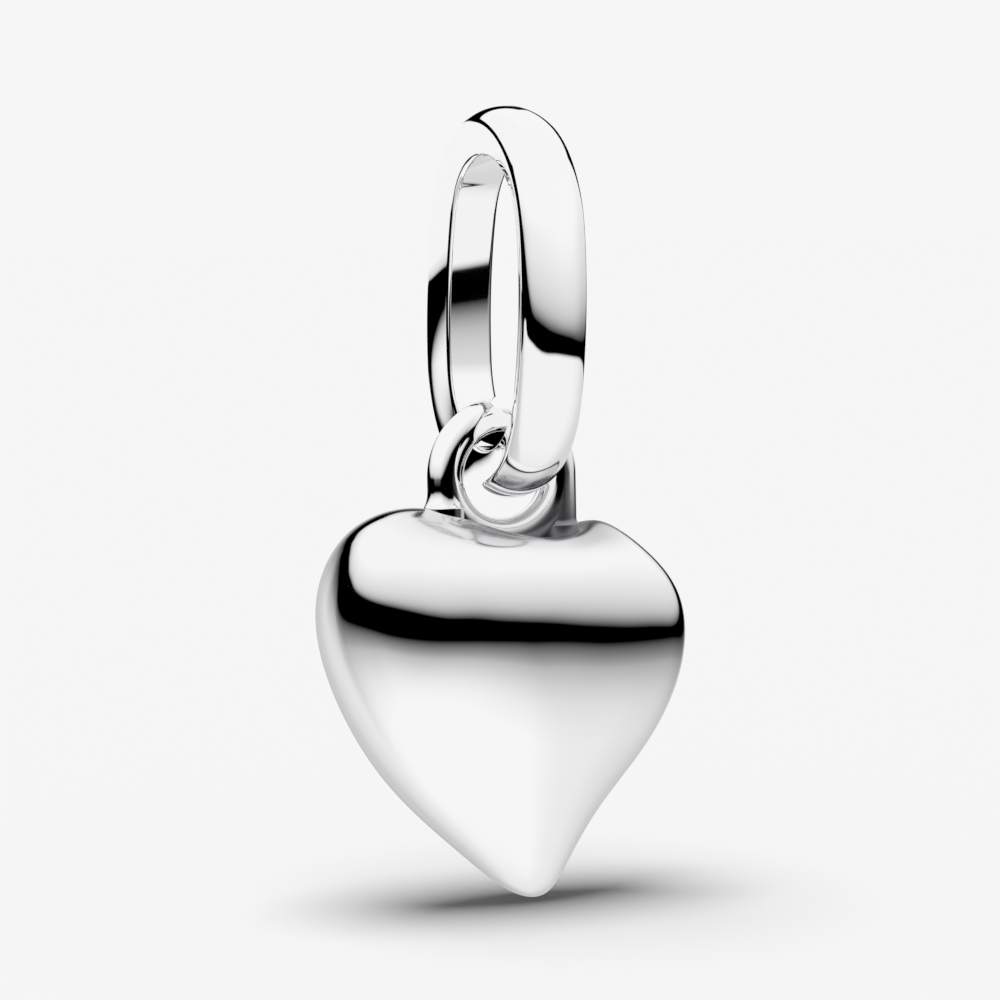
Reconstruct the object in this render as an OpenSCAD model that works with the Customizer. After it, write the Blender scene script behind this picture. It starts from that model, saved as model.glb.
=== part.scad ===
// Dangle charm: a puffed heart with a cast-on loop, hung on an oval link of D-shaped section.
// Millimetres. +Z is up, the heart faces -Y, and the link stands across the heart, in the YZ plane.
// The origin is the highest point of the link's inner face, where a chain or cord carries it.

/* [Bail] */
// Width of the link's opening, front to back
bail_inner_w = 4; // [3.4:0.05:6]
// Height of the link's opening
bail_inner_h = 6.38; // [5.6:0.05:9]
// Width of the flat inner face, left to right
bail_face_w = 1.02; // [0.6:0.02:1.1]
// Width of the band at its outer edges, left to right
bail_band_w = 1.5; // [1.2:0.02:1.7]
// Depth of the sloping sides, from the inner face to the outer edges
bail_side_t = 0.75; // [0.5:0.01:0.9]
// Height of the outer dome above the outer edges
bail_dome_h = 0.31; // [0.15:0.01:0.45]
// Lean of the link towards the heart's front
bail_lean = 6; // [0:0.5:9]

/* [Loop] */
// Diameter of the loop's wire
loop_wire_d = 0.79; // [0.5:0.01:0.9]
// Clearance between the loop's wire and the middle of the link's inner face
hang_gap = 0.36; // [0.3:0.01:0.6]
// Clearance between the middle of the link's outer dome and the bottom of the loop
loop_under_gap = 0.43; // [0.3:0.01:0.6]
// Sideways place of the heart on the link
loop_offset_x = -0.08; // [-0.1:0.01:0.1]

/* [Heart] */
// Width that the outline's shares are taken of
heart_w = 8.74; // [7.5:0.02:10.5]
// Height that the outline's shares are taken of
heart_h = 8.6; // [8:0.02:10.5]
// Thickness of the heart at its fullest point
heart_t = 3.65; // [2.6:0.05:4.6]

/* [Hidden] */

$fn = 96;

// Silver, as the polished metal shows in white light
silver = [0.9, 0.9, 0.91];

// Outline of the heart seen from the front, anticlockwise from the cleft by the left lobe and the tip.
// Control points of a closed cubic spline, measured from the loop's centre.
// Columns: share of heart_w to the right, share of heart_h upwards
heart_outline = [
    [0.035, -0.165],
    [-0.11, -0.095],
    [-0.255, -0.055],
    [-0.43, -0.11],
    [-0.52, -0.3],
    [-0.465, -0.535],
    [-0.33, -0.775],
    [-0.14, -0.95],
    [0, -1.08],
    [0.1, -1.1],
    [0.145, -1.015],
    [0.23, -0.87],
    [0.39, -0.715],
    [0.495, -0.525],
    [0.5, -0.33],
    [0.39, -0.205],
    [0.245, -0.1],
    [0.19, -0.165]
];
// Fullest point of the front face, in the same two columns
crown_share = [-0.02, -0.365];
// Middle of the heart, from which each outline point takes its direction, in the same two columns
middle_share = [0, -0.57];
// Half width and half height of the ellipse that the front face starts from, in the same two columns
spread_share = [0.485, 0.455];
// Points of the outline for each control point
outline_steps = 4;
// Angle between two rows of points from the front of the heart, round its edge, to its back
row_angle = 10;
// Points along the curve of the link's dome
dome_steps = 8;
// How far the legs reach down into the heart, as a share of heart_h below the loop's centre
leg_share = 0.16;

wire_r = loop_wire_d / 2;
// Radius of the link's round ends, at the inner face
end_r = bail_inner_w / 2;
// Height of the link's straight sides
side_h = bail_inner_h - bail_inner_w;
// Radius of the dome across the band
dome_r = (bail_band_w * bail_band_w / 4 + bail_dome_h * bail_dome_h) / (2 * bail_dome_h);
// Half of the angle that the dome covers
dome_angle = asin(bail_band_w / 2 / dome_r);
// Centre of the link's lower round end, once the link leans
low_end_y = side_h * sin(bail_lean);
low_end_z = -end_r - side_h * cos(bail_lean);
// Radius of the loop's ring to the middle of its wire, which clears the band above and below
ring_r = (hang_gap + bail_side_t + bail_dome_h + loop_under_gap + loop_wire_d) / 2;
// Centre of the loop, under the lowest point of the link's inner face
loop_pos = [loop_offset_x, low_end_y, low_end_z - end_r + hang_gap + wire_r - ring_r];

heart_size = [heart_w, heart_h];
crown = [for (i = [0:1]) crown_share[i] * heart_size[i]];
middle = [for (i = [0:1]) middle_share[i] * heart_size[i]];
spread = [for (i = [0:1]) spread_share[i] * heart_size[i]];
control = [for (p = heart_outline) [p[0] * heart_w, p[1] * heart_h]];

// Point of a cubic spline between its control points b and c, with t from 0 to 1
function spline_point(a, b, c, d, t) =
    (pow(1 - t, 3) * a + (3 * pow(t, 3) - 6 * t * t + 4) * b
    + (1 + 3 * t + 3 * t * t - 3 * pow(t, 3)) * c + pow(t, 3) * d) / 6;

// All points of a closed spline
function closed_spline(points, steps) =
    let (n = len(points))
    [for (i = [0:n - 1]) for (k = [0:steps - 1])
        spline_point(points[(i + n - 1) % n], points[i], points[(i + 1) % n], points[(i + 2) % n], k / steps)];

// Direction and speed in which the surface leaves the crown on its way to the outline point p
function crown_speed(p) =
    let (turn = atan2((p[1] - middle[1]) / spread[1], (p[0] - middle[0]) / spread[0]))
    [spread[0] * cos(turn), spread[1] * sin(turn)];

// Point of the heart's surface on its way from the front crown (0) by the edge (90) to the back (180)
function heart_point(p, angle) =
    let (s = sin(angle), v = crown_speed(p), xz = crown + s * v + s * s * (p - crown - v))
    [xz[0], -heart_t / 2 * cos(angle), xz[1]];

outline = closed_spline(control, outline_steps);
row_count = 180 / row_angle - 1;

// Section of the band, with the distance from the link's inner face along X
module band_section() {
    polygon(concat(
        [[0, bail_face_w / 2], [0, -bail_face_w / 2]],
        [for (k = [0:dome_steps])
            let (a = dome_angle * (2 * k / dome_steps - 1))
            [bail_side_t + bail_dome_h - dome_r + dome_r * cos(a), dome_r * sin(a)]]
    ));
}

// Half ring of the band about its own centre, above the X axis
module band_end() {
    rotate_extrude(angle = 180)
        translate([end_r, 0])
            band_section();
}

// Closed oval link in the XY plane, with its height along Y and its origin at the centre of the upper end
module band_oval() {
    band_end();
    translate([0, -side_h, 0])
        rotate([0, 0, 180])
            band_end();
    for (side = [0, 1])
        mirror([side, 0, 0])
            rotate([90, 0, 0])
                linear_extrude(height = side_h)
                    translate([end_r, 0])
                        band_section();
}

module bail() {
    color(silver)
        translate([0, 0, -end_r])
            rotate([bail_lean, 0, 0])
                rotate([90, 0, 90])
                    band_oval();
}

// Puffed body of the heart, one closed surface of rows round the crown
module heart_body() {
    n = len(outline);
    points = concat(
        [[crown[0], -heart_t / 2, crown[1]], [crown[0], heart_t / 2, crown[1]]],
        [for (r = [1:row_count]) for (p = outline) heart_point(p, r * row_angle)]
    );
    faces = concat(
        [for (i = [0:n - 1]) [0, 2 + (i + 1) % n, 2 + i]],
        [for (r = [0:row_count - 2]) for (i = [0:n - 1]) for (half = [0, 1])
            let (a = 2 + r * n + i, b = 2 + r * n + (i + 1) % n)
            half == 0 ? [a, b, b + n] : [a, b + n, a + n]],
        [for (i = [0:n - 1]) let (last = 2 + (row_count - 1) * n) [1, last + i, last + (i + 1) % n]]
    );
    polyhedron(points = points, faces = faces);
}

// Ring of round wire that the link passes through, with its two legs down into the heart
module loop() {
    rotate([90, 0, 0])
        rotate_extrude()
            translate([ring_r, 0])
                circle(r = wire_r);
    for (side = [-1, 1])
        translate([side * ring_r, 0, -leg_share * heart_h])
            cylinder(r = wire_r, h = leg_share * heart_h);
}

module heart_drop() {
    color(silver)
        translate(loop_pos) {
            heart_body();
            loop();
        }
}

bail();
heart_drop();
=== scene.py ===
"""Dressed scene of a dangle charm: a polished silver heart hung on an oval link bail, in a soft studio."""

import logging
import math
from dataclasses import dataclass, field
from enum import Enum

import bmesh
import bpy
from mathutils import Matrix, Vector


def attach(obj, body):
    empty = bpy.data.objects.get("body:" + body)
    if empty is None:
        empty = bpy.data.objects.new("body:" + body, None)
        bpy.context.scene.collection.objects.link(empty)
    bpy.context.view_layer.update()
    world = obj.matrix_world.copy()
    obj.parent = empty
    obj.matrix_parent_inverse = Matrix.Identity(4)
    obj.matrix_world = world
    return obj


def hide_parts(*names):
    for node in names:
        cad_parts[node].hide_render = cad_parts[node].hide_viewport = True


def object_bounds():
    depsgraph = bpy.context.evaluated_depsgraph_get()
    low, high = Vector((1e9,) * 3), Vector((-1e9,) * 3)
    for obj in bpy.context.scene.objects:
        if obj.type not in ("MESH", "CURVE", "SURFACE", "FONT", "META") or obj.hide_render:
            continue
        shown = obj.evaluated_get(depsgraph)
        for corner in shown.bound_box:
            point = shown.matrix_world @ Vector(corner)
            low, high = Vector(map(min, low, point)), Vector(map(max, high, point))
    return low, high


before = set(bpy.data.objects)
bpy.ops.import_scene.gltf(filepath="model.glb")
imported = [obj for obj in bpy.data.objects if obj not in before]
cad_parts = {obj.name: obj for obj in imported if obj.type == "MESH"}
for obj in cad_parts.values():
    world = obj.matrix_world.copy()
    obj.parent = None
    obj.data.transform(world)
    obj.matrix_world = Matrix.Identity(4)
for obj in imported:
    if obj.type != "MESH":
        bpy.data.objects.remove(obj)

CAD_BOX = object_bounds()
MM = 0.001
# Vertex mask of painted shade in the recesses, which also makes the polish rougher there.
RECESS = "recess"
ROUND_PROFILE = 0.5
Stops = tuple[tuple[float, float], ...]
log = logging.getLogger("dangle_charm")


class Axis(Enum):
    """Directions of the charm's frame, as unit vectors."""

    RIGHT = Vector((1.0, 0.0, 0.0))
    BACK = Vector((0.0, 1.0, 0.0))
    UP = Vector((0.0, 0.0, 1.0))


@dataclass(frozen=True)
class Fade:
    """A smooth run from 1 at one value to 0 at another, level beyond both."""

    full: float
    none: float

    def at(self, value: float) -> float:
        """Reads the fade at a value."""
        share = min(max((self.none - value) / (self.none - self.full), 0.0), 1.0)
        return share * share * (3 - 2 * share)


def mesh_object(name: str, shape: bmesh.types.BMesh, material: bpy.types.Material) -> bpy.types.Object:
    """Turns a finished bmesh in millimetres into a smooth-shaded object in metres.

    Args:
        name: Name of the new object.
        shape: The bmesh, which is freed.
        material: The material of all its faces.

    Returns:
        The linked object, at the origin and unturned.
    """
    shape.normal_update()
    bmesh.ops.recalc_face_normals(shape, faces=shape.faces)
    bmesh.ops.scale(shape, vec=Vector((MM, MM, MM)), verts=shape.verts)
    mesh = bpy.data.meshes.new(name)
    shape.to_mesh(mesh)
    shape.free()
    mesh.shade_smooth()
    mesh.materials.append(material)
    piece = bpy.data.objects.new(name, mesh)
    bpy.context.scene.collection.objects.link(piece)
    return piece


@dataclass(frozen=True)
class PolishedSilver:
    """Mirror-polished silver with a faint haze, hairlines from wear, and painted shade in the recesses,
    where the polish is also rougher.

    Full recess shade brings the tint to the recess shade tint and adds the recess roughness, and a power
    below 1 makes the roughness come before the tint. A texture's scale counts its waves in a metre, the
    hairlines' height is in metres and their turn in radians.
    """

    name: str = "polished_silver"
    tint: tuple[float, float, float] = (0.95, 0.95, 0.957)
    # Colour of the painted shade in the recesses.
    recess_shade_tint: tuple[float, float, float] = (0.17, 0.17, 0.185)
    roughness_clear: float = 0.012
    roughness_hazy: float = 0.035
    roughness_recess: float = 0.36
    recess_power: float = 0.5
    haze_scale: float = 420.0
    haze_detail: float = 5.0
    haze_least: float = 0.35
    haze_most: float = 0.7
    hairline_scale: float = 2600.0
    hairline_detail: float = 3.0
    hairline_stretch: tuple[float, float, float] = (1.0, 1.0, 0.06)
    hairline_turn: tuple[float, float, float] = (0.5, 0.9, 0.3)
    hairline_height: float = 0.0000012
    hairline_strength: float = 0.05

    def build(self) -> bpy.types.Material:
        """Makes the material.

        Returns:
            The node-based material.
        """
        material = bpy.data.materials.new(self.name)
        material.use_nodes = True
        nodes, links = material.node_tree.nodes, material.node_tree.links
        shader = nodes["Principled BSDF"]
        shader.inputs["Metallic"].default_value = 1.0
        # Painted shade: the recess mask darkens the tint towards the recess shade tint.
        recess, tone = nodes.new("ShaderNodeAttribute"), nodes.new("ShaderNodeMix")
        recess.attribute_name = RECESS
        tone.data_type = "RGBA"
        tone.inputs["A"].default_value = (*self.tint, 1.0)
        tone.inputs["B"].default_value = (*self.recess_shade_tint, 1.0)
        links.new(recess.outputs["Fac"], tone.inputs["Factor"])
        links.new(tone.outputs["Result"], shader.inputs["Base Color"])
        place = nodes.new("ShaderNodeTexCoord")

        haze = nodes.new("ShaderNodeTexNoise")
        haze.inputs["Scale"].default_value = self.haze_scale
        haze.inputs["Detail"].default_value = self.haze_detail
        links.new(place.outputs["Object"], haze.inputs["Vector"])
        spread = nodes.new("ShaderNodeMapRange")
        spread.inputs["From Min"].default_value = self.haze_least
        spread.inputs["From Max"].default_value = self.haze_most
        spread.inputs["To Min"].default_value = self.roughness_clear
        spread.inputs["To Max"].default_value = self.roughness_hazy
        links.new(haze.outputs["Fac"], spread.inputs["Value"])
        early, dull = nodes.new("ShaderNodeMath"), nodes.new("ShaderNodeMath")
        early.operation, dull.operation = "POWER", "MULTIPLY_ADD"
        early.inputs[1].default_value = self.recess_power
        dull.inputs[1].default_value = self.roughness_recess
        links.new(recess.outputs["Fac"], early.inputs[0])
        links.new(early.outputs["Value"], dull.inputs[0])
        links.new(spread.outputs["Result"], dull.inputs[2])
        links.new(dull.outputs["Value"], shader.inputs["Roughness"])

        stretch = nodes.new("ShaderNodeMapping")
        stretch.inputs["Scale"].default_value = self.hairline_stretch
        stretch.inputs["Rotation"].default_value = self.hairline_turn
        links.new(place.outputs["Object"], stretch.inputs["Vector"])
        hairlines = nodes.new("ShaderNodeTexNoise")
        hairlines.inputs["Scale"].default_value = self.hairline_scale
        hairlines.inputs["Detail"].default_value = self.hairline_detail
        links.new(stretch.outputs["Vector"], hairlines.inputs["Vector"])
        relief = nodes.new("ShaderNodeBump")
        relief.inputs["Strength"].default_value = self.hairline_strength
        relief.inputs["Distance"].default_value = self.hairline_height
        links.new(hairlines.outputs["Fac"], relief.inputs["Height"])
        links.new(relief.outputs["Normal"], shader.inputs["Normal"])
        return material


@dataclass
class LinkBail:
    """The oval link, one band of D-shaped section bent round four arcs. Sizes in millimetres and degrees.

    The long sides bow outwards, most of all a bow_drop below the link's middle, so it is slightly
    egg-shaped. The edge guard is how near to its ends the flat inner face has a further point, which
    keeps it flat in shading.
    """

    inner_w: float = 4.0
    inner_h: float = 6.38
    bow: float = 0.12
    bow_drop: float = 0.13
    face_w: float = 1.02
    band_w: float = 1.5
    side_t: float = 0.75
    dome_h: float = 0.31
    lean: float = 6.0
    side_crown: float = 0.018
    corner_round: float = 0.07
    corner_segments: int = 6
    edge_guard: float = 0.02
    dome_segments: int = 24
    side_segments: int = 8
    end_steps: int = 90
    side_steps: int = 28
    weld_distance: float = 0.0005

    def __post_init__(self) -> None:
        """Works out the four arcs."""
        half_w, half_h = self.inner_w / 2, self.inner_h / 2
        even_r = half_w - self.bow
        self.side_r = (half_w**2 + (half_h - even_r)**2 - even_r**2) / (2 * self.bow)
        self.side_y = self.side_r - half_w
        radii, angles = [], []
        for reach in (half_h + self.bow_drop, half_h - self.bow_drop):
            end_r = (self.side_r**2 - self.side_y**2 - reach**2) / (2 * (self.side_r - reach))
            radii.append(end_r)
            angles.append(math.atan2(reach - end_r, self.side_y))
        self.top_r, self.low_r = radii
        self.top_angle, self.low_angle = angles
        self.top_z, self.low_z = half_h - self.top_r, self.low_r - half_h

    def arc(self, shape: bmesh.types.BMesh, start: bmesh.types.BMVert, end: Vector, rise: float,
            steps: int) -> bmesh.types.BMVert:
        """Draws an arc of the section, which bulges outwards.

        Args:
            shape: The bmesh that takes the section.
            start: The vertex that the arc leaves.
            end: Where the arc ends.
            rise: Height of the arc above its chord.
            steps: Edges along the arc.

        Returns:
            The arc's last vertex.
        """
        chord = end - start.co
        half = chord.length / 2
        radius = (half**2 + rise**2) / (2 * rise)
        outwards = Vector((chord.z, 0, -chord.x)).normalized()
        centre = (start.co + end) / 2 + outwards * (rise - radius)
        bent = bmesh.ops.spin(shape, geom=[start], cent=centre, axis=-Axis.BACK.value,
                              angle=2 * math.asin(half / radius), steps=steps)
        return next(v for v in bent["geom_last"] if isinstance(v, bmesh.types.BMVert))

    def section(self, shape: bmesh.types.BMesh) -> list[bmesh.types.BMEdge]:
        """Draws the band's section at the top of the link, with its corners rounded.

        Args:
            shape: The bmesh that takes the section.

        Returns:
            The edges of the closed section.
        """
        face_z = self.inner_h / 2
        edge_z = face_z + self.side_t
        right = shape.verts.new((self.band_w / 2, 0, edge_z))
        outer_left = Vector((-self.band_w / 2, 0, edge_z))
        left = self.arc(shape, right, outer_left, self.dome_h, self.dome_segments)
        inner_left = Vector((-self.face_w / 2, 0, face_z))
        low_left = self.arc(shape, left, inner_left, self.side_crown, self.side_segments)
        low_right = bmesh.ops.extrude_vert_indiv(shape, verts=[low_left])["verts"][0]
        low_right.co = Vector((self.face_w / 2, 0, face_z))
        last = self.arc(shape, low_right, right.co.copy(), self.side_crown, self.side_segments)
        bmesh.ops.weld_verts(shape, targetmap={last: right})
        bmesh.ops.contextual_create(shape, geom=shape.edges[:])
        bmesh.ops.bevel(shape, geom=[right, left, low_left, low_right], affect="VERTICES",
                        offset=self.corner_round, offset_type="OFFSET", segments=self.corner_segments,
                        profile=ROUND_PROFILE, material=-1, clamp_overlap=True)
        self.guard_face(shape)
        bmesh.ops.delete(shape, geom=shape.faces[:], context="FACES_ONLY")
        return shape.edges[:]

    def guard_face(self, shape: bmesh.types.BMesh) -> None:
        """Adds a point near each end of the flat inner face, so that it stays flat in shading.

        Args:
            shape: The bmesh with the section as one face.
        """
        edge = max(shape.edges, key=lambda e: e.calc_length())
        share = self.edge_guard / edge.calc_length()
        near, far = edge.verts
        new_edge, _ = bmesh.utils.edge_split(edge, near, share)
        rest = edge if far in edge.verts else new_edge
        bmesh.utils.edge_split(rest, far, share / (1 - share))

    def low_point(self) -> Vector:
        """Finds the lowest point of the inner face of the leaning link, as the construction has it.

        Returns:
            The point, measured from the highest point of the inner face.
        """
        side_h, lean = self.inner_h - self.inner_w, math.radians(self.lean)
        return Vector((0, side_h * math.sin(lean), -self.inner_w - side_h * math.cos(lean)))

    def build(self, material: bpy.types.Material) -> bpy.types.Object:
        """Bends the section round the link's arcs.

        Args:
            material: The link's finish.

        Returns:
            The finished link.
        """
        shape = bmesh.new()
        geom = self.section(shape)
        quarter, side = math.pi / 2 - self.top_angle, self.top_angle + self.low_angle
        bends = [
            ((0, self.top_z), quarter, self.end_steps),
            ((self.side_y, -self.bow_drop), side, self.side_steps),
            ((0, self.low_z), math.pi - 2 * self.low_angle, 2 * self.end_steps),
            ((-self.side_y, -self.bow_drop), side, self.side_steps),
            ((0, self.top_z), quarter, self.end_steps),
        ]
        for (y, z), angle, steps in bends:
            bent = bmesh.ops.spin(shape, geom=geom, cent=Vector((0, y, z)), axis=Axis.RIGHT.value,
                                  angle=angle, steps=steps)
            geom = [g for g in bent["geom_last"] if isinstance(g, bmesh.types.BMEdge)]
        bmesh.ops.remove_doubles(shape, verts=shape.verts, dist=self.weld_distance)
        end_r = self.inner_w / 2
        hang = Matrix.Translation((0, 0, -end_r)) @ Matrix.Rotation(math.radians(self.lean), 4, "X")
        bmesh.ops.transform(shape, matrix=hang @ Matrix.Translation((0, 0, end_r - self.inner_h / 2)),
                            verts=shape.verts)
        return mesh_object("silver_bail", shape, material)


@dataclass(frozen=True)
class Foot:
    """The flared foot of one of the loop's legs, by its lower end, its height and its flare. Millimetres."""

    level: float
    height: float
    flare: float


@dataclass
class HeartDrop:
    """The puffed heart with the loop cast on it. Sizes in millimetres, or shares of the heart's two sizes.

    All is measured from the loop's centre, which hangs below held_at, the lowest point of the link's
    inner face. The trough's fades set the heart's painted shade by the distance from the wire, the upward
    slope and the place to the right. The recess's fades set the loop's painted shade by the distance from
    its centre, the level and the place to the right. The same mask also makes the polish rougher there.
    """

    held_at: Vector
    width: float = 8.72
    height: float = 8.59
    thickness: float = 3.65
    wire_d: float = 0.79
    ring_r: float = 1.32
    hang_gap: float = 0.36
    offset_x: float = -0.08
    leg_share: float = 0.16
    foot_right: Foot = Foot(level=-1.12, height=0.16, flare=0.05)
    foot_left: Foot = Foot(level=-0.62, height=0.4, flare=0.08)
    foot_steps: int = 24
    foot_edge: float = 0.015
    outline: Stops = (
        (0.035, -0.165), (-0.11, -0.095), (-0.255, -0.055), (-0.43, -0.11), (-0.52, -0.3),
        (-0.465, -0.535), (-0.33, -0.775), (-0.14, -0.95), (0, -1.08), (0.1, -1.1), (0.145, -1.015),
        (0.23, -0.87), (0.39, -0.715), (0.495, -0.525), (0.5, -0.33), (0.39, -0.205), (0.245, -0.1),
        (0.19, -0.165),
    )
    crown: tuple[float, float] = (-0.02, -0.365)
    middle: tuple[float, float] = (0.0, -0.57)
    spread: tuple[float, float] = (0.485, 0.455)
    # Painted shade: how dark the loop's and the heart's recesses are painted, and where.
    recess_shade_share: float = 0.85
    trough_shade_share: float = 0.5
    trough_reach: Fade = Fade(full=0.4, none=1.4)
    trough_slope: Fade = Fade(full=0.75, none=0.45)
    trough_side: Fade = Fade(full=-0.5, none=-1.6)
    trough_least: float = 0.35
    recess_radius: Fade = Fade(full=1.35, none=1.05)
    recess_level: Fade = Fade(full=-0.95, none=-0.4)
    recess_side: Fade = Fade(full=-0.8, none=-1.1)
    calm_span: float = 2.0
    calm_samples: int = 9
    detail_power: int = 5
    points_per_span: int = 22
    rows: int = 160
    ring_steps: int = 96
    wire_segments: int = 48
    spokes: dict[int, tuple[Vector, Vector, Vector]] = field(default_factory=dict)

    @property
    def columns(self) -> int:
        """Counts the columns of the heart's surface."""
        return len(self.outline) * self.points_per_span

    def sized(self, share: tuple[float, float]) -> Vector:
        """Turns shares of the heart's width and height into millimetres."""
        return Vector((share[0] * self.width, share[1] * self.height))

    def outline_point(self, turn: float) -> Vector:
        """Finds a point of the heart's outline on its closed cubic spline.

        Args:
            turn: Share of the way round, from 0 to 1.

        Returns:
            The point, to the right of and above the loop's centre.
        """
        count = len(self.outline)
        place = (turn % 1.0) * count
        span = int(place) % count
        t = place - int(place)
        before, start, end, after = (self.sized(self.outline[(span + k) % count]) for k in (-1, 0, 1, 2))
        start_weight, end_weight = 3 * t**3 - 6 * t * t + 4, 1 + 3 * t + 3 * t * t - 3 * t**3
        return ((1 - t)**3 * before + start_weight * start + end_weight * end + t**3 * after) / 6

    def calm_point(self, turn: float) -> Vector:
        """Finds a point of the outline with its tip and cleft evened out, which the inner surface follows.

        Args:
            turn: Share of the way round, from 0 to 1.

        Returns:
            The mean of the outline's points from calm_span control points before it to as many after it.
        """
        reach = self.calm_span / len(self.outline)
        places = [turn + reach * (2 * k / (self.calm_samples - 1) - 1) for k in range(self.calm_samples)]
        return sum((self.outline_point(place) for place in places), Vector((0, 0))) / self.calm_samples

    def spoke(self, column: int) -> tuple[Vector, Vector, Vector]:
        """Works out, once for each column, how the surface runs from the crown to the outline.

        Args:
            column: Number of the column, of points_per_span for each control point.

        Returns:
            The way out of the crown, the calm outline's part and the detail that only the edge has.
        """
        if column not in self.spokes:
            turn = column / self.columns
            edge, calm = self.outline_point(turn), self.calm_point(turn)
            crown, middle, spread = (self.sized(share) for share in (self.crown, self.middle, self.spread))
            lean = math.atan2((calm.y - middle.y) / spread.y, (calm.x - middle.x) / spread.x)
            leave = Vector((spread.x * math.cos(lean), spread.y * math.sin(lean)))
            self.spokes[column] = (leave, calm - crown - leave, edge - calm)
        return self.spokes[column]

    def surface_point(self, direction: Vector) -> Vector:
        """Carries a point of the unit ball to the heart's surface.

        Args:
            direction: Unit vector, with +Z for the front crown and -Z for the back one.

        Returns:
            The surface point, measured from the loop's centre.
        """
        turn = math.atan2(direction.y, direction.x) / math.tau
        leave, calm, detail = self.spoke(round(turn * self.columns) % self.columns)
        s = math.hypot(direction.x, direction.y)
        flat = self.sized(self.crown) + s * leave + s * s * calm + s**self.detail_power * detail
        return Vector((flat.x, -self.thickness / 2 * direction.z, flat.y))

    def loop_distance(self, point: Vector) -> float:
        """Measures how far a point is outside the loop's wire.

        Args:
            point: A point measured from the loop's centre.

        Returns:
            The distance, negative inside the wire.
        """
        ring = math.hypot(math.hypot(point.x, point.z) - self.ring_r, point.y)
        below = min(max(point.z, -self.leg_share * self.height), 0.0)
        leg = math.hypot(abs(point.x) - self.ring_r, point.y, point.z - below)
        return min(ring, leg) - self.wire_d / 2

    def body(self) -> bmesh.types.BMesh:
        """Swells a ball into the heart, with painted shade where the loop's wire enters it.

        Returns:
            The heart's bmesh, measured from the loop's centre.
        """
        shape = bmesh.new()
        bmesh.ops.create_uvsphere(shape, u_segments=self.columns, v_segments=self.rows, radius=1.0)
        painted_shade_and_roughness = shape.verts.layers.float.new(RECESS)
        for vert in shape.verts:
            vert.co = self.surface_point(vert.co)
        shape.normal_update()
        # Painted shade on the heart: darker near the loop's wire, most on faces turned upwards, less to the
        # left.
        for vert in shape.verts:
            near = self.trough_reach.at(self.loop_distance(vert.co)) * self.trough_slope.at(vert.normal.z)
            side = self.trough_least + (1 - self.trough_least) * self.trough_side.at(vert.co.x)
            vert[painted_shade_and_roughness] = self.trough_shade_share * near * side
        return shape

    def draw_out(self, shape: bmesh.types.BMesh, rim: list[bmesh.types.BMEdge], level: float,
                 growth: float) -> list[bmesh.types.BMEdge]:
        """Draws the end of a leg further down and widens it.

        Args:
            shape: The loop's bmesh, measured from its centre.
            rim: The open edges at the leg's end, which are level.
            level: Height of the new end.
            growth: How much wider the new end is, as a factor.

        Returns:
            The open edges at the new end.
        """
        drawn = bmesh.ops.extrude_edge_only(shape, edges=rim)["geom"]
        verts = [g for g in drawn if isinstance(g, bmesh.types.BMVert)]
        middle = sum((v.co for v in verts), Vector()) / len(verts)
        for vert in verts:
            vert.co = Vector((middle.x, middle.y, level)) + (vert.co - middle) * growth
        return [g for g in drawn if isinstance(g, bmesh.types.BMEdge) and g.is_boundary]

    def add_leg(self, shape: bmesh.types.BMesh, rim: list[bmesh.types.BMEdge],
                foot: Foot) -> list[bmesh.types.BMEdge]:
        """Adds a straight leg below an end of the ring, with a foot that flares where it meets the heart.

        Args:
            shape: The loop's bmesh, measured from its centre.
            rim: The open edges at the ring's end.
            foot: The leg's foot.

        Returns:
            The open edges at the leg's lower end.
        """
        rim = self.draw_out(shape, rim, foot.level + foot.height, 1.0)
        radius = self.wire_d / 2
        for k in range(1, self.foot_steps + 1):
            share = k / self.foot_steps
            wide = self.wire_d / 2 + foot.flare * share**3
            rim = self.draw_out(shape, rim, foot.level + foot.height * (1 - share), wide / radius)
            radius = wide
        rim = self.draw_out(shape, rim, foot.level - self.foot_edge, 1.0)
        return self.draw_out(shape, rim, -self.leg_share * self.height, 1.0)

    def add_wire(self, shape: bmesh.types.BMesh, turn: float, legs: bool) -> None:
        """Adds half of the ring.

        Args:
            shape: The loop's bmesh, measured from its centre.
            turn: Angle from the right end of the ring to its left end, negative over the top.
            legs: Whether its ends go on as legs.
        """
        wire = bmesh.ops.create_circle(shape, segments=self.wire_segments, radius=self.wire_d / 2)["verts"]
        bmesh.ops.rotate(shape, verts=wire, cent=Vector(), matrix=Matrix.Rotation(math.pi / 2, 3, "Z"))
        bmesh.ops.translate(shape, verts=wire, vec=Vector((self.ring_r, 0, 0)))
        section = list({e for v in wire for e in v.link_edges})
        bent = bmesh.ops.spin(shape, geom=wire + section, cent=Vector(), axis=Axis.BACK.value, angle=turn,
                              steps=self.ring_steps)
        last = [g for g in bent["geom_last"] if isinstance(g, bmesh.types.BMEdge)]
        for rim, foot in ((section, self.foot_right), (last, self.foot_left)):
            if legs:
                rim = self.add_leg(shape, rim, foot)
            bmesh.ops.edgeloop_fill(shape, edges=rim)
            for edge in rim:
                edge.smooth = False

    def add_loop(self, shape: bmesh.types.BMesh) -> None:
        """Adds an arch whose ends go down into the heart as legs, and the ring's lower half.

        Args:
            shape: The bmesh that takes them, measured from the loop's centre.
        """
        self.add_wire(shape, -math.pi, True)
        self.add_wire(shape, math.pi, False)

    def build(self, material: bpy.types.Material) -> tuple[bpy.types.Object, bpy.types.Object]:
        """Makes the heart and its loop, as two objects so that the studio can be set for each.

        Args:
            material: The drop's finish.

        Returns:
            The heart and the loop.
        """
        shape, ring = self.body(), bmesh.new()
        painted_shade_and_roughness = ring.verts.layers.float.new(RECESS)
        self.add_loop(ring)
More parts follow.
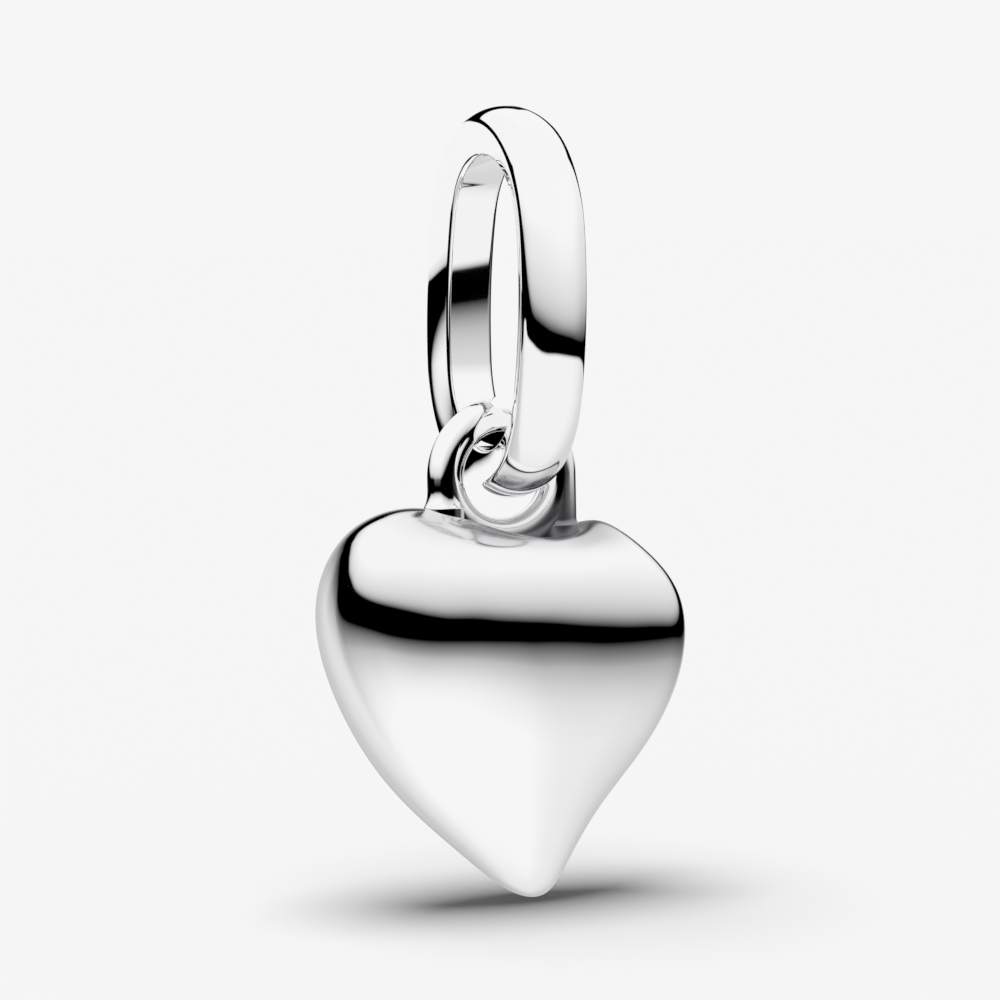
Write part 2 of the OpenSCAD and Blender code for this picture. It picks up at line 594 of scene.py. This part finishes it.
        # Painted shade on the loop: darker on the outer face of the ring's lower part, none on its left leg.
        for vert in ring.verts:
            inside = self.recess_radius.at(math.hypot(vert.co.x, vert.co.z))
            low_down = self.recess_level.at(vert.co.z)
            vert[painted_shade_and_roughness] = self.recess_shade_share * inside * low_down * self.recess_side.at(vert.co.x)
        centre = self.held_at + Vector((self.offset_x, 0, self.hang_gap + self.wire_d / 2 - self.ring_r))
        for part in (shape, ring):
            bmesh.ops.translate(part, verts=part.verts, vec=centre)
        return mesh_object("silver_heart", shape, material), mesh_object("silver_loop", ring, material)


@dataclass(frozen=True)
class NodeSheet:
    """Short hands for the few shader nodes that the reflector walls are drawn with."""

    tree: bpy.types.NodeTree

    def math(self, kind: str, *values: "bpy.types.NodeSocket | float") -> bpy.types.NodeSocket:
        """Adds a Math node.

        Args:
            kind: Name of the operation.
            values: Its inputs, as sockets or numbers.

        Returns:
            The result's socket.
        """
        node = self.tree.nodes.new("ShaderNodeMath")
        node.operation = kind
        for entry, value in zip(node.inputs, values):
            if isinstance(value, (int, float)):
                entry.default_value = value
            else:
                self.tree.links.new(value, entry)
        return node.outputs["Value"]

    def constant(self, value: float) -> bpy.types.NodeSocket:
        """Adds a socket that holds one number."""
        return self.math("ADD", value, 0.0)

    def curve(self, value: bpy.types.NodeSocket, stops: Stops) -> bpy.types.NodeSocket:
        """Adds a smooth curve through the stops, level beyond its ends, or a constant if all are equal.

        Args:
            value: What the curve is read at.
            stops: Pairs of place and value, from the lowest place to the highest.

        Returns:
            The socket of the curve's value.
        """
        low, high = stops[0][0], stops[-1][0]
        least, most = min(v for _, v in stops), max(v for _, v in stops)
        if least == most:
            return self.constant(least)
        node = self.tree.nodes.new("ShaderNodeFloatCurve")
        points = node.mapping.curves[0].points
        for place, height in stops[1:-1]:
            points.new((place - low) / (high - low), (height - least) / (most - least))
        points[0].location = (0.0, (stops[0][1] - least) / (most - least))
        points[len(points) - 1].location = (1.0, (stops[-1][1] - least) / (most - least))
        for point in points:
            point.handle_type = "AUTO_CLAMPED"
        node.mapping.update()
        share = self.math("DIVIDE", self.math("SUBTRACT", value, low), high - low)
        inside = self.math("MAXIMUM", self.math("MINIMUM", share, 1.0), 0.0)
        self.tree.links.new(inside, node.inputs["Value"])
        return self.math("ADD", self.math("MULTIPLY", node.outputs["Value"], most - least), least)


@dataclass(frozen=True)
class DarkGap:
    """A dark course round a reflector wall, between a lit part above it and a lit part below it.

    The first seven curves run over the azimuth, which is 0 at the heart's front and grows to the right.
    The upper and lower edges are elevations and the reaches are the widths of the soft edges, all in
    degrees. The levels are the brightnesses above and below the gap, and least is added everywhere. The
    last two curves run from 0 at an edge to 1 at the end of its reach, and give the share of the level.
    """

    upper: Stops
    lower: Stops
    above_reach: Stops
    below_reach: Stops
    above_level: Stops
    below_level: Stops
    least: Stops = ((-180, 0), (180, 0))
    rise: Stops = (
        (0, 0), (0.05, 0.2), (0.12, 0.46), (0.18, 0.6), (0.3, 0.74), (0.45, 0.83), (0.6, 0.89),
        (0.78, 0.95), (1, 1),
    )
    fall: Stops = (
        (0, 0), (0.08, 0.13), (0.16, 0.25), (0.24, 0.38), (0.32, 0.54), (0.4, 0.63), (0.56, 0.79),
        (0.75, 0.92), (1, 1),
    )

    def draw(self, sheet: NodeSheet, azimuth: bpy.types.NodeSocket,
             elevation: bpy.types.NodeSocket) -> bpy.types.NodeSocket:
        """Draws the gap.

        Args:
            sheet: Where its nodes go.
            azimuth: Socket of the azimuth.
            elevation: Socket of the elevation.

        Returns:
            The socket of the brightness.
        """
        over = sheet.math("SUBTRACT", elevation, sheet.curve(azimuth, self.upper))
        under = sheet.math("SUBTRACT", sheet.curve(azimuth, self.lower), elevation)
        parts = []
        for depth, reach, level, shape in (
            (over, self.above_reach, self.above_level, self.rise),
            (under, self.below_reach, self.below_level, self.fall),
        ):
            share = sheet.curve(sheet.math("DIVIDE", depth, sheet.curve(azimuth, reach)), shape)
            parts.append(sheet.math("MULTIPLY", share, sheet.curve(azimuth, level)))
        shown = sheet.math("ADD", sheet.math("ADD", *parts), sheet.curve(azimuth, self.least))
        return sheet.math("MINIMUM", shown, 1.0)


@dataclass
class ReflectorWall:
    """A round white wall with dark gaps, which only one piece's mirror images show. Sizes in millimetres.

    Straight below, where all azimuths meet, it fades to one even level, by a share over the elevation.
    """

    name: str
    radius: float
    middle: float
    gaps: tuple[DarkGap, ...]
    level: float = 0.97
    nadir_level: float = 0.86
    nadir_share: Stops = ((-88, 1), (-80, 0.8), (-70, 0.3), (-60, 0))
    columns: int = 128
    rows: int = 96

    def build(self, piece: bpy.types.Object) -> bpy.types.Object:
        """Makes the wall.

        Args:
            piece: The piece that mirrors it.

        Returns:
            The wall, which only mirror images see.
        """
        material = bpy.data.materials.new(self.name)
        material.use_nodes = True
        nodes, links = material.node_tree.nodes, material.node_tree.links
        nodes.remove(nodes["Principled BSDF"])
        sheet = NodeSheet(material.node_tree)
        place = nodes.new("ShaderNodeTexCoord")
        split = nodes.new("ShaderNodeSeparateXYZ")
        links.new(place.outputs["Object"], split.inputs["Vector"])
        x, y, z = (split.outputs[axis] for axis in "XYZ")
        azimuth = sheet.math("DEGREES", sheet.math("ARCTAN2", x, sheet.math("MULTIPLY", y, -1.0)))
        rise = sheet.math("DIVIDE", sheet.math("SUBTRACT", z, self.middle * MM), self.radius * MM)
        elevation = sheet.math("DEGREES", sheet.math("ARCSINE", rise))
        shown = sheet.constant(self.level)
        for gap in self.gaps:
            shown = sheet.math("MULTIPLY", shown, gap.draw(sheet, azimuth, elevation))
        nadir = sheet.curve(elevation, self.nadir_share)
        change = sheet.math("MULTIPLY", sheet.math("SUBTRACT", self.nadir_level, shown), nadir)
        shown = sheet.math("ADD", shown, change)
        glow, clear = nodes.new("ShaderNodeEmission"), nodes.new("ShaderNodeBsdfTransparent")
        both = nodes.new("ShaderNodeAddShader")
        links.new(shown, glow.inputs["Strength"])
        links.new(clear.outputs["BSDF"], both.inputs[0])
        links.new(glow.outputs["Emission"], both.inputs[1])
        links.new(both.outputs["Shader"], nodes["Material Output"].inputs["Surface"])
        material.cycles.emission_sampling = "NONE"
        shape = bmesh.new()
        bmesh.ops.create_uvsphere(shape, u_segments=self.columns, v_segments=self.rows, radius=self.radius,
                                  matrix=Matrix.Translation((0, 0, self.middle)))
        wall = mesh_object(self.name, shape, material)
        wall.visible_camera = wall.visible_diffuse = wall.visible_shadow = False
        wall.visible_transmission = wall.visible_volume_scatter = False
        mirror = bpy.data.collections.new(f"{self.name}_mirror")
        mirror.objects.link(piece)
        wall.light_linking.receiver_collection = mirror
        return wall


HEART_GAP = DarkGap(
    upper=(
        (-180, 54), (-165, 56), (-150, 55), (-135, 54), (-120, 53.5), (-105, 50), (-90, 45.5), (-75, 36.5),
        (-60, 21), (-45, 7.5), (-30, 2.2), (-15, -0.8), (0, -2), (15, -4.5), (30, -6), (45, -6.6),
        (60, -6.6), (75, -6.2), (90, -6), (105, -3), (120, 6), (135, 12), (150, 30), (165, 42), (180, 54),
    ),
    lower=(
        (-180, 39), (-165, 40), (-150, 40), (-135, 42), (-120, 42), (-105, 38), (-90, 32), (-75, 19),
        (-60, -4), (-45, -7), (-30, -9), (-15, -9), (0, -9.5), (15, -10.5), (30, -11), (45, -11),
        (60, -10.5), (75, -9.7), (90, -9), (105, -8.8), (120, -7), (135, 1), (150, 18), (165, 30),
        (180, 39),
    ),
    above_reach=(
        (-180, 12), (-100, 13), (-75, 15), (-60, 20), (-45, 22), (-30, 27), (-15, 30), (75, 32), (105, 24),
        (120, 16), (180, 12),
    ),
    below_reach=(
        (-180, 32), (-105, 33), (-90, 50), (-75, 58), (-60, 42), (-45, 28), (-30, 20), (120, 20), (135, 10),
        (180, 32),
    ),
    above_level=((-180, 0.97), (180, 1.0)),
    below_level=(
        (-180, 0.55), (-165, 0.6), (-150, 0.63), (-135, 0.64), (-120, 0.68), (-105, 0.75), (-90, 0.81),
        (-75, 0.87), (-60, 0.95), (-45, 1.0), (15, 1.0), (30, 0.95), (45, 0.9), (60, 0.88), (75, 0.83),
        (90, 0.78), (105, 0.7), (120, 0.64), (150, 0.6), (180, 0.55),
    ),
)
BAIL_GAP = DarkGap(
    upper=(
        (-180, -30), (-165, -4), (-155, 0), (-147, 2.5), (-137, 2.8), (-130, 2.6), (-123, 2), (-116, 55),
        (-66, 55), (-60, 32), (-55, 24), (-50, 16), (-45, 8), (-40, 2), (-35, -3.5), (-30, -6), (-20, -8),
        (-10, -9.5), (0, -10.7), (10, -11.4), (20, -11.8), (35, -12), (50, -12), (60, -11.8), (70, -11.3),
        (80, -10.3), (90, -8), (95, -3), (99, 45), (150, 45), (162, 0), (180, -30),
    ),
    lower=(
        (-180, -12), (-172, -10), (-165, -9.5), (-157, -8.7), (-152, -10.5), (-147, -14), (-142, -11),
        (-139, -6), (-135, -3.5), (-127, -1.5), (-122, -1), (-116, -6), (-110, -9), (-72, -11), (-60, -6),
        (-50, -5.5), (-45, -8.5), (-40, -11), (-30, -13.4), (-20, -15.4), (-10, -16.6), (0, -17), (20, -17),
        (35, -16.8), (50, -16.2), (60, -15.6), (70, -15), (80, -14.7), (90, -14.8), (99, -15.5), (150, -13),
        (180, -10),
    ),
    above_reach=(
        (-180, 2), (-123, 2), (-116, 1.5), (-60, 4), (-50, 26), (-40, 34), (0, 33), (27, 29), (60, 44),
        (80, 58), (95, 40), (99, 2), (180, 2),
    ),
    below_reach=((-180, 3), (-147, 5), (-122, 5), (-116, 1.5), (100, 1.5), (180, 2)),
    above_level=((-180, 0.99), (180, 1.0)),
    below_level=(
        (-180, 1.0), (-122, 1.0), (-116, 0.6), (-60, 0.7), (-50, 0.9), (-40, 0.97), (40, 0.97), (60, 0.93),
        (70, 0.88), (80, 0.8), (90, 0.76), (100, 0.72), (110, 0.72), (150, 0.78), (165, 0.95), (180, 1.0),
    ),
)
LOOP_GAP = DarkGap(
    upper=(
        (-180, 8), (-165, 9), (-150, 6), (-135, 3), (-120, 0), (-105, 0), (-90, -1), (-60, -1), (-45, 0.5),
        (-30, 4), (-15, 8), (0, 12), (15, 12), (30, 4), (45, 1), (60, -3), (75, -10), (90, -10), (105, -1),
        (120, 2), (135, -3), (150, -2), (165, 4), (180, 8),
    ),
    lower=(
        (-180, 0), (-150, -3), (-120, -5), (-105, -9), (-90, -10.5), (-60, -10.5), (-45, -12.5),
        (-30, -13.5), (-15, -15), (0, -17), (15, -19), (30, -20), (45, -22), (75, -25), (90, -22),
        (105, -14), (135, -12), (180, 0),
    ),
    above_reach=(
        (-180, 16), (-60, 18), (-45, 28), (-30, 45), (0, 55), (45, 50), (75, 60), (90, 60), (105, 25),
        (180, 14),
    ),
    below_reach=((-180, 5), (15, 5), (60, 20), (100, 12), (180, 5)),
    above_level=((-180, 0.99), (180, 1.0)),
    below_level=(
        (-180, 0.9), (-135, 0.7), (-120, 0.95), (-15, 1.0), (0, 0.95), (15, 0.7), (30, 0.4), (60, 0.3),
        (90, 0.2), (120, 0.1), (180, 0.5),
    ),
    least=((-180, 0), (15, 0), (35, 0.06), (80, 0.08), (110, 0.02), (125, 0), (180, 0)),
)
CREASE_GAP = DarkGap(
    upper=((-180, 56), (-116, 56), (-108, 10), (140, 10), (150, 57), (180, 56)),
    lower=(
        (-180, 43), (-160, 41), (-151, 32), (-146, 25), (-140, 22), (-132, 16), (-125, 10), (-116, 0),
        (-108, 50), (140, 50), (150, 46), (180, 43),
    ),
    above_reach=((-180, 2), (180, 2)),
    below_reach=((-180, 4), (180, 4)),
    above_level=((-180, 0.99), (180, 1.0)),
    below_level=((-180, 0.99), (180, 1.0)),
)


@dataclass
class Studio:
    """The pale floor and the soft light. Sizes in millimetres and degrees."""

    floor_half: float = 900.0
    floor_tone: float = 0.15
    light_level: float = 0.9216
    overhead_level: float = 16.4
    overhead_angle: float = 40.0
    overhead_turn: float = -4.0

    def light(self) -> None:
        """Sets the even light that surrounds the set, and the soft light from overhead."""
        world = bpy.data.worlds.new("studio_light")
        world.use_nodes = True
        sky = world.node_tree.nodes["Background"]
        sky.inputs["Color"].default_value = (1.0, 1.0, 1.0, 1.0)
        sky.inputs["Strength"].default_value = self.light_level
        world.cycles_visibility.glossy = False
        bpy.context.scene.world = world
        lamp = bpy.data.lights.new("overhead", "SUN")
        lamp.energy = self.overhead_level
        lamp.angle = math.radians(self.overhead_angle)
        overhead = bpy.data.objects.new("overhead", lamp)
        overhead.rotation_euler.y = math.radians(self.overhead_turn)
        overhead.visible_glossy = False
        bpy.context.scene.collection.objects.link(overhead)

    def floor(self, level: float) -> bpy.types.Object:
        """Lays the floor.

        Args:
            level: Height of the floor in millimetres.

        Returns:
            The floor.
        """
        material = bpy.data.materials.new("pale_floor")
        material.use_nodes = True
        shader = material.node_tree.nodes["Principled BSDF"]
        shader.inputs["Base Color"].default_value = (self.floor_tone, self.floor_tone, self.floor_tone, 1.0)
        shader.inputs["Roughness"].default_value = 1.0
        shader.inputs["Specular IOR Level"].default_value = 0.0
        shape = bmesh.new()
        bmesh.ops.create_grid(shape, x_segments=1, y_segments=1, size=self.floor_half,
                              matrix=Matrix.Translation((0, 0, level)))
        floor = mesh_object("floor", shape, material)
        floor.visible_glossy = False
        return floor


@dataclass
class PhotoCamera:
    """The camera where the photograph was taken from, with the range it sees. Millimetres and degrees."""

    position: Vector = field(default_factory=lambda: Vector((-28.90, -69.93, -0.79)))
    target: Vector = field(default_factory=lambda: Vector((-0.155, 0.198, -7.461)))
    roll: float = -1.06
    lens: float = 126.0
    sensor: float = 36.0
    near: float = 1.0
    far: float = 20000.0

    def build(self) -> bpy.types.Object:
        """Makes the camera and hands it to the scene.

        Returns:
            The camera.
        """
        camera = bpy.data.objects.new("photo_camera", bpy.data.cameras.new("photo_camera"))
        camera.data.lens = self.lens
        camera.data.sensor_width = self.sensor
        camera.data.clip_start = self.near * MM
        camera.data.clip_end = self.far * MM
        aim = (self.target - self.position).to_track_quat("-Z", "Y").to_matrix().to_4x4()
        turn = Matrix.Rotation(math.radians(self.roll), 4, "Z")
        camera.matrix_world = Matrix.Translation(self.position * MM) @ aim @ turn
        bpy.context.scene.collection.objects.link(camera)
        bpy.context.scene.camera = camera
        return camera


def main() -> None:
    """Builds the charm, the studio and the camera."""
    silver = PolishedSilver().build()
    link = LinkBail()
    bail = link.build(silver)
    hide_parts("bail")
    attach(bail, "bail")
    log.info("bail: %d faces", len(bail.data.polygons))
    heart, loop = HeartDrop(held_at=link.low_point()).build(silver)
    for part in (heart, loop):
        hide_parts("heart_drop")
        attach(part, "heart")
    log.info("heart drop: %d faces and %d in its loop", len(heart.data.polygons), len(loop.data.polygons))
    studio = Studio()
    studio.light()
    floor = studio.floor(CAD_BOX[0].z / MM)
    heart_wall = ReflectorWall("heart_wall", radius=50.0, middle=-10.0, gaps=(HEART_GAP,)).build(heart)
    bail_wall = ReflectorWall("bail_wall", radius=9.0, middle=-3.6, gaps=(BAIL_GAP, CREASE_GAP)).build(bail)
    loop_wall = ReflectorWall("loop_wall", radius=49.0, middle=-10.0, gaps=(LOOP_GAP,)).build(loop)
    log.info("studio: %s, %s, %s, %s", floor.name, heart_wall.name, bail_wall.name, loop_wall.name)
    camera = PhotoCamera().build()
    log.info("camera: %s", camera.name)
    bpy.context.scene.view_settings.view_transform = "Standard"


if __name__ == "__main__":
    logging.basicConfig(level=logging.INFO)
    main()
